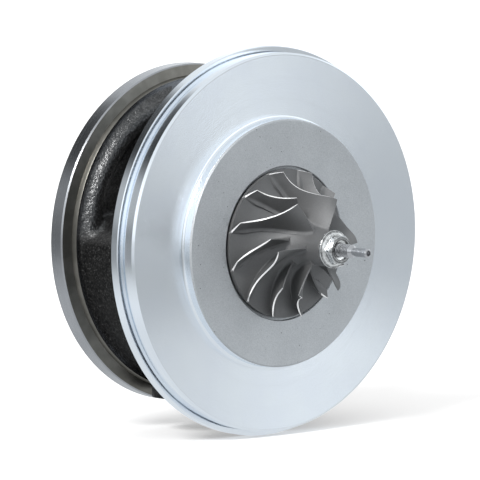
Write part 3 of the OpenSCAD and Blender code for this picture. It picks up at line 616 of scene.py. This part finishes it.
turbine_blade = blade(
    "turbine_blade",
    (heat_alloy, ground_edge),
    turbine_root,
    turbine_edge,
    lambda t, share: turbine_turn * (0.2 * (1 - t) + 0.8 * (1 - t) ** 2),
    (0, 0),
    1.9,
    0.9,
    0.9,
)
turbine.data.materials.append(heat_alloy)
turning_nose = rod("turning_nose", 9 / math.sqrt(3), (0, 75.6, 0), (0, 79.6, 0), sides=6)
apply(turning_nose, "BEVEL", width=0.4 * MM, segments=3, limit_method="ANGLE")
combine(turbine, "UNION", turning_nose, *spaced(turbine_blade, turbine_blades))
settle(turbine, "turbine_wheel", "rotor")


# Shaft: steel, ground on its journals, with a rolled thread and a centre-drilled turning end in front.
# Its seal boss is welded to the turbine wheel; thrust collar and flinger slide on from the front.
stub_r = 2.5
thread_end = -48.4
tip_end = -57.6
bright_steel, place = start_finish("bright_steel")
lines = place.tool_lines(0.15)
scuffs = place.grain(1.2, 3.0)
# Painted shade: the roots of the thread are coloured near black.
thread_root_shade = (1 - place.radius().rise(2.1, 2.45)) * (place.part("Y") > thread_end)
steel = scuffs.blend((0.42, 0.42, 0.43, 1), (0.56, 0.56, 0.57, 1))
end_finish(
    bright_steel,
    {
        "Base Color": thread_root_shade.blend(steel, (0.04, 0.038, 0.035, 1)),
        "Metallic": 1.0,
        "Roughness": 0.1 + scuffs * 0.14,
    },
    lines * 0.003 + scuffs * 0.006,
)
thread_pitch = 0.8
thread_turns = 11
shaft = turned("threaded_shaft", [
    (0, 54.6), (8.7, 54.6), (8.7, 50.075), (7, 50.075), (7, 48.175), (8.7, 48.175), (8.7, 44.35),
    (8.3, 43.95), (4, 43.95), (4, 33.25), (3.7, 32.55), (3.7, 25.95), (4, 25.25), (4, 14.65),
    (stub_r, 14.65), (stub_r, thread_end), (1.7, thread_end - 0.8), (1.4, thread_end - 1.1),
    (1.4, thread_end - 2.3), (1.7, thread_end - 2.6), (1.7, tip_end + 0.5), (1.2, tip_end), (0.9, tip_end),
    (0.9, -55.2), (0, -54.6),
], steps=64)
bpy.ops.object.select_all(action="DESELECT")
bpy.ops.mesh.primitive_circle_add(vertices=3, radius=MM)
thread_tool = bpy.context.object
corners = [(2.03, 0), (2.68, 0.36), (2.68, -0.36)]
for vertex, (radius, along) in zip(thread_tool.data.vertices, corners):
    vertex.co = Vector((radius, along + thread_end, 0)) * MM
apply(
    thread_tool,
    "SCREW",
    axis="Y",
    screw_offset=thread_pitch * MM,
    iterations=thread_turns,
    steps=40,
    render_steps=40,
)
bpy.ops.object.mode_set(mode="EDIT")
bpy.ops.mesh.select_all(action="SELECT")
bpy.ops.mesh.fill_holes(sides=3)
bpy.ops.mesh.normals_make_consistent(inside=False)
bpy.ops.object.mode_set(mode="OBJECT")
shaft.data.materials.append(bright_steel)
combine(shaft, "DIFFERENCE", thread_tool)
settle(shaft, "rotor_shaft", "rotor")
dress(ground_steel, "oil_flinger", "thrust_collar")


# O-ring: moulded from black rubber and stretched into the groove of the seal plate's spigot.
# The bore of the housing squeezes it, so that no oil gets out between the two.
rubber, place = start_finish("black_rubber")
mould_grain = place.grain(0.3, 3.0)
end_finish(
    rubber,
    {
        "Base Color": mould_grain.blend((0.012, 0.012, 0.012, 1), (0.03, 0.03, 0.03, 1)),
        "Roughness": 0.5 + mould_grain * 0.2,
    },
    mould_grain * 0.02,
)
dress(rubber, "seal_plate_o_ring")


# Seal plate: an aluminium back plate, turned bright outside and blasted matt on its raised centre.
# Its face keeps the marks of the turning tool. Six zinc-plated screws from behind hold it to the housing.
raised_r = 46.75
aluminium, place = start_finish("turned_aluminium")
on_raised = place.radius() < raised_r - 0.05
lines = place.tool_lines(0.12)
cloud = place.grain(14.0, 3.0)
blast = place.grain(0.4)
speck = place.grain(0.9, 0.0).rise(0.82, 0.85)
turned_face = cloud.rise(0.3, 0.7).blend((0.86, 0.90, 0.95, 1), (0.88, 0.92, 0.96, 1))
frost = (blast * 0.7 + cloud * 0.3).rise(0.3, 0.7)
clean_matt = frost.blend((0.48, 0.495, 0.51, 1), (0.60, 0.615, 0.63, 1))
matt_face = speck.blend(clean_matt, (0.16, 0.16, 0.16, 1))
end_finish(
    aluminium,
    {
        "Base Color": on_raised.blend(turned_face, matt_face),
        "Metallic": 1.0,
        "Roughness": 0.16 + on_raised * 0.34,
    },
    on_raised * (blast * 0.06) + (1 - on_raised) * (lines * 0.003),
)
face_start = 47.95
face_end = 70.7
face = -6.5
foot_r = 1.2
foot_steps = 15
tapped_floor = -5.3
feed = 0.26
mark_depth = 0.016
scallop = [(0, 0), (0.25, 0.75), (0.5, 1), (0.75, 0.75)]
foot_curve = []
for step in range(foot_steps):
    lift = math.radians(step * 90 / foot_steps)
    foot_curve.append((face_start - foot_r * math.cos(lift), face - foot_r + foot_r * math.sin(lift)))
marks = []
for mark in range(int((face_end - face_start) / feed)):
    for share, depth in scallop:
        marks.append((face_start + (mark + share) * feed, face + depth * mark_depth))
plate = turned("seal_plate_turned", [
    (8.15, -7.5), (11, -7.5), (29, -9.5), (29, -10.4), (29.3, -10.7), (46.15, -10.7), (raised_r, -10.1),
] + foot_curve + marks + [
    (face_end, face), (71.5, -5.7), (71.5, -2), (70.4, -2), (70.4, -1.3), (70.9, -1.3), (70.9, 0.4),
    (71.8, 0.4), (71.8, 0), (73.2, 0), (73.5, 0.3), (73.5, 3.4), (73.2, front_face), (36, front_face),
    (36, 4.8), (34.4, 4.8), (34.4, 7.1), (36, 7.1), (36, 8.2), (25, 8.2), (25, 0), (8.15, 0),
    (8.15, -7.5),
], steps=144)
plate.data.materials.append(aluminium)
for across, up in screw_places:
    tapped_start = (across, tapped_floor, up)
    combine(plate, "DIFFERENCE", rod("tapped_hole", screw_hole_r, tapped_start, (across, 5, up)))
settle(plate, "seal_plate", "housing", crease=7)
dress(bright_steel, "seal_plate_screws")


# Compressor wheel: milled from an aluminium forging, with full blades and splitters in turn.
# The faces are matt grey; the blade edges are turned bright when the wheel is sized, and are coloured near
# white and partly matt as a painted highlight.
milled, place = start_finish("milled_aluminium")
cusps = place.grain(0.5)
shade = place.grain(8.0)
end_finish(
    milled,
    {
        "Base Color": shade.blend((0.22, 0.22, 0.22, 1), (0.26, 0.26, 0.262, 1)),
        "Metallic": 1.0,
        "Roughness": 0.64 + cusps * 0.14,
    },
    cusps * 0.01,
)
# Painted highlight: the sized edges are near white and partly matt, standing in for their glint as well as
# their bright turned finish.
sized_edge_highlight, place = start_finish("sized_aluminium_highlight")
lines = place.tool_lines(0.2)
end_finish(
    sized_edge_highlight,
    {
        "Base Color": lines.blend((0.84, 0.84, 0.84, 1), (0.92, 0.92, 0.92, 1)),
        "Metallic": 0.4,
        "Roughness": 0.36 + lines * 0.1,
    },
    lines * 0.004,
)
wheel_r = 28
nose_r = 6.7
nose_end = -37.4
wheel_root = [(nose_r, -31), (nose_r, -19.16), (16.24, -12), (wheel_r, -11.6)]
wheel_edge = [(19.9, -29.6), (19.9, -28.7), (17.711, -15.4), (wheel_r, -15.4)]
first_blade = 47
blade_pairs = 6
blade_sizes = 1.5, 0.55, 1.2


def wheel_sweep(t, share):
    """Angle of the wheel's blades: the edge turns less than the root, and leans at the rim."""
    camber = 0.69 * (1 - t) + 0.31 * (1 - t) ** 2
    return -mix(51 * camber, 7.7 + 38.5 * camber, share)


wheel = turned("compressor_wheel_milled", [(stub_r, -8.1), (10, -8.1), (wheel_r, -10.1)] + [
    tuple(curve_at(wheel_root, 1 - step / hub_steps)) for step in range(hub_steps + 1)
] + [(nose_r, nose_end + 0.4), (nose_r - 0.4, nose_end), (stub_r, nose_end), (stub_r, -8.1)])
wheel.data.materials.append(milled)
shape = (milled, sized_edge_highlight), wheel_root, wheel_edge, wheel_sweep
full_blade = blade("full_blade", *shape, (0, 0), *blade_sizes)
splitter = blade("splitter_blade", *shape, (0.24, 0.38), *blade_sizes)
first_splitter = first_blade + 180 / blade_pairs
blades = spaced(full_blade, blade_pairs, first_blade) + spaced(splitter, blade_pairs, first_splitter)
combine(wheel, "UNION", *blades)
settle(wheel, "compressor_wheel", "rotor", crease=32)


# Shaft nut: a flanged hexagon of plated steel that clamps the wheel on the shaft.
# Its edges are broken by tumbling, and the plating shows the lathe's streaks.
plated, place = start_finish("plated_steel")
lines = place.tool_lines(0.8)
worn = place.grain(1.2)
streaks = (lines * 0.75 + worn * 0.25).rise(0.4, 0.6)
end_finish(
    plated,
    {
        "Base Color": streaks.blend((0.2, 0.2, 0.2, 1), (0.8, 0.8, 0.79, 1)),
        "Metallic": 1.0,
        "Roughness": 0.2 + worn * 0.12,
    },
    lines * 0.006,
)
nut = copy_of_node("clamp_nut", "shaft_nut")
bpy.ops.object.mode_set(mode="EDIT")
bpy.ops.mesh.select_all(action="SELECT")
bpy.ops.mesh.dissolve_limited(angle_limit=math.radians(1))
bpy.ops.object.mode_set(mode="OBJECT")
apply(nut, "BEVEL", width=0.14 * MM, segments=2, limit_method="ANGLE", angle_limit=math.radians(25))
nut.data.materials.append(plated)
settle(nut, "shaft_nut", "rotor")


# Studio: a pale floor under soft light, seen from the left front, a little above the shaft.
# Metal mirrors a cool sky and floor that are shaded in places; the camera sees both as white.
cool_white = (0.92, 0.965, 1, 1)
plain_white = (1, 1, 1, 1)
floor_z = cad_box[0][2]
bpy.ops.object.select_all(action="DESELECT")
bpy.ops.mesh.primitive_plane_add(size=30, location=(0, 0, floor_z))
floor = bpy.context.object
floor.name = "studio_floor"
paper, place = start_finish("floor_paper")
ray = Tone(paper.node_tree).node("LightPath", out="Is Camera Ray")
in_metal = ray.node("LightPath", out="Is Glossy Ray") | ray.node("LightPath", out="Is Transmission Ray")
reach = place.node("VectorMath", {"operation": "LENGTH"}, {0: place}, out="Value")
close_by = 1 - reach.rise(90, 170)
far = reach.rise(60, 450)
unlit = (place.part("Y") - place.part("X")).rise(150, 900)
in_front = (0 - place.part("Y")).rise(80, 230) * (1 - place.part("X").rise(60, 250))
front_left = (0 - place.part("X")).rise(200, 500) * (0 - place.part("Y")).rise(0, 300)
matt = ray.node("BsdfDiffuse", inputs={"Color": (0.8, 0.8, 0.8, 1)})
lift = ray.node("Emission", inputs={"Color": plain_white, "Strength": ray * 0.3})
seen = ray.node("AddShader", inputs={0: matt, 1: lift})
bounce = 0.97 - close_by * 0.15 - far * 0.42 - unlit * 0.22 - in_front * 0.2 + front_left * 0.4
image = ray.node("Emission", inputs={"Color": cool_white, "Strength": bounce})
paper_shader = ray.node("MixShader", inputs={0: in_metal, 1: seen, 2: image})
ray.node("OutputMaterial", inputs={"Surface": paper_shader})
floor.data.materials.append(paper)

scene = bpy.context.scene
world = bpy.data.worlds.new("studio_light")
scene.world = world
world.use_nodes = True
world.node_tree.nodes.clear()
sky = Tone(world.node_tree).node("TexCoord", out="Generated")


def towards(direction):
    """How closely the sky faces a direction, from -1 to 1."""
    way = Vector(direction).normalized()
    return sky.node("VectorMath", {"operation": "DOT_PRODUCT"}, {0: sky, 1: way}, out="Value")


dark_flag = towards((-0.22, 0.744, 0.631)).rise(0.90, 0.985)
dark_side = towards((-0.60, 0.74, 0.30)).rise(0.75, 0.97)
dark_left = towards((-0.85, 0.40, 0.1)).rise(0.5, 0.9)
bright_key = towards((0.40, -0.86, 0.32)).rise(0.9, 0.99)
bright_front = towards((-0.72, -0.68, 0.1)).rise(0.7, 0.95)
horizon = (1 - towards((0, 0, 1)).rise(-0.02, 0.19)) * (1 - bright_front * 0.7)
overhead = towards((0, 0, 1)).rise(0.3, 0.6)
glossy = sky.node("LightPath", out="Is Glossy Ray")
camera_ray = sky.node("LightPath", out="Is Camera Ray")
flags = (1 - dark_flag * 0.9) * (1 - dark_side * 0.4) * (1 - dark_left * 0.38)
mirrored = flags * (1.27 + bright_key * 0.25 - horizon * 0.64 - overhead * 0.37)
soft_light = 0.75
level = mirrored * glossy + camera_ray + (1 - glossy - camera_ray) * soft_light
sky_colour = glossy.blend(plain_white, cool_white)
backdrop = sky.node("Background", inputs={"Color": sky_colour, "Strength": level})
backdrop.node("OutputWorld", inputs={"Surface": backdrop})

softboxes = {
    "side_softbox": ((-0.75, -0.25, 0.62), 2.4, 18, True),
    "front_softbox": ((-0.30, -0.62, 0.72), 0.6, 50, False),
}
for name, (source, energy, width, shows_in_metal) in softboxes.items():
    lamp = bpy.data.lights.new(name, "SUN")
    lamp.energy = energy
    lamp.angle = math.radians(width)
    lamp_object = bpy.data.objects.new(name, lamp)
    lamp_object.rotation_euler = Vector(source).to_track_quat("Z", "Y").to_euler()
    lamp_object.visible_glossy = shows_in_metal
    scene.collection.objects.link(lamp_object)

azimuth = math.radians(-41.541)
elevation = math.radians(6.145)
distance = 3.3138
target = Vector((-0.0071, 0.0063, 0.0004))
back_way = Vector((
    math.sin(azimuth) * math.cos(elevation),
    -math.cos(azimuth) * math.cos(elevation),
    math.sin(elevation),
))
camera = bpy.data.cameras.new("camera")
camera.lens = 660.6
camera.sensor_width = 36
camera_object = bpy.data.objects.new("camera", camera)
camera_object.location = target + back_way * distance
camera_object.rotation_euler = back_way.to_track_quat("Z", "Y").to_euler()
scene.collection.objects.link(camera_object)
scene.camera = camera_object
scene.view_settings.view_transform = "Standard"
